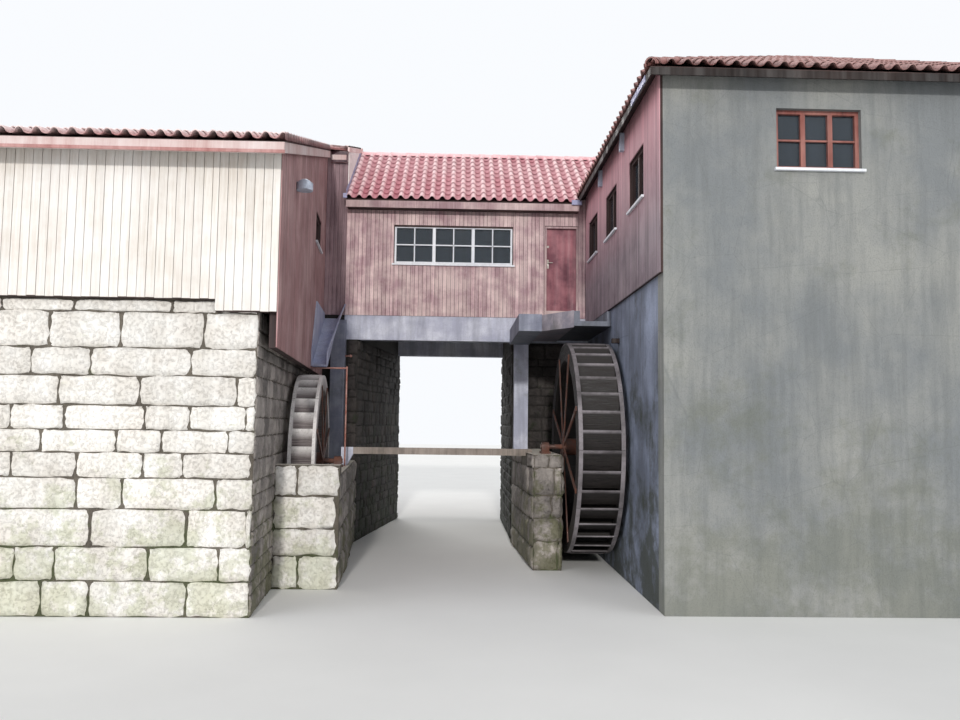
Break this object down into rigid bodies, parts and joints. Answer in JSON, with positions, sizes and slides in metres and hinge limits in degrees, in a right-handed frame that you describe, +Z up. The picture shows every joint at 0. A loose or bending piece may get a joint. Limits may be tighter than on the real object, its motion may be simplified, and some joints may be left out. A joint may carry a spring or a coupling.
{
  "type": "watermill",
  "caption": "Timber-clad watermill bridging a stream between two wings, with overshot bucket wheels fed by a launder and a flume.",
  "frame": {"origin": "on the ground plane, below the middle of the building's overall plan rectangle", "axes": "+X to the right along the bridge block's front wall, +Y away from the viewer against the stream's flow, +Z up"},
  "size_m": [18.315, 13.5, 10.3287],
  "materials": {
    "boards": "weathered vertical boards",
    "wheel_wood": "wet and weathered boards",
    "trim": "faded red-brown paint on wood",
    "white_paint": "white paint on wood",
    "door_paint": "dark oxblood paint on wood",
    "stone": "rubble stone with moss",
    "plaster": "stained render on stone",
    "concrete": "cast concrete",
    "tiles": "clay roof tiles with lichen",
    "iron": "rusty",
    "lamp_paint": "pale paint",
    "glass": "clear"
  },
  "bodies": {
    "root": {"bridge_back_wall": "boards", "bridge_beams": "concrete", "bridge_fascia": "trim", "bridge_floor": "concrete", "bridge_front_wall": "boards", "bridge_roof": "tiles", "bridge_wall_beside_door": "boards", "bridge_wall_over_door": "boards", "bridge_window_frames": "white_paint", "cantilever_beam": "concrete", "door_frame": "trim", "door_hinges": "iron", "flume_rods": "iron", "lamps": "lamp_paint", "landing_slab": "concrete", "left_abutment": "stone", "left_fascia": "trim", "left_floor": "concrete", "left_flume": "wheel_wood", "left_front_base_wall": "stone", "left_front_board_wall": "boards", "left_pier": "stone", "left_post": "concrete", "left_rear_base_walls": "stone", "left_rear_board_walls": "boards", "left_return_wall": "boards", "left_roof": "tiles", "left_side_base_wall": "stone", "left_side_board_wall": "boards", "right_abutment": "stone", "right_back_wall": "plaster", "right_end_wall": "plaster", "right_fascia": "trim", "right_floor": "concrete", "right_front_wall": "plaster", "right_launder": "concrete", "right_party_wall": "boards", "right_pier": "stone", "right_post": "concrete", "right_roof": "tiles", "right_side_base_wall": "stone", "right_side_board_wall": "boards", "stream_beam": "wheel_wood", "stream_beam_pad": "concrete", "wheel_bearings": "iron", "window_glass": "glass", "window_sills": "white_paint", "wing_window_frames": "trim"},
    "door": {"door_leaf": "door_paint", "door_handle": "iron"},
    "right_wheel": {"right_wheel_buckets": "wheel_wood", "right_wheel_rims": "wheel_wood", "right_wheel_sole": "wheel_wood", "right_wheel_spider": "iron"},
    "left_wheel": {"left_wheel_buckets": "wheel_wood", "left_wheel_rims": "wheel_wood", "left_wheel_sole": "wheel_wood", "left_wheel_spider": "iron"}
  },
  "joints": [
    {"name": "door_swing", "type": "hinge", "parent": "root", "child": "door", "pos_m": [1.6075, 1.582, 5.595], "axis": [0, 0, -1], "range_deg": [0, 90]},
    {"name": "right_wheel_turn", "type": "hinge", "parent": "root", "child": "right_wheel", "pos_m": [1.3575, -1.45, 2.385], "axis": [1, 0, 0], "continuous": true},
    {"name": "left_wheel_turn", "type": "hinge", "parent": "root", "child": "left_wheel", "pos_m": [-4.2145, -1.65, 2.05], "axis": [0.9971, 0.0758, 0], "continuous": true}
  ]
}
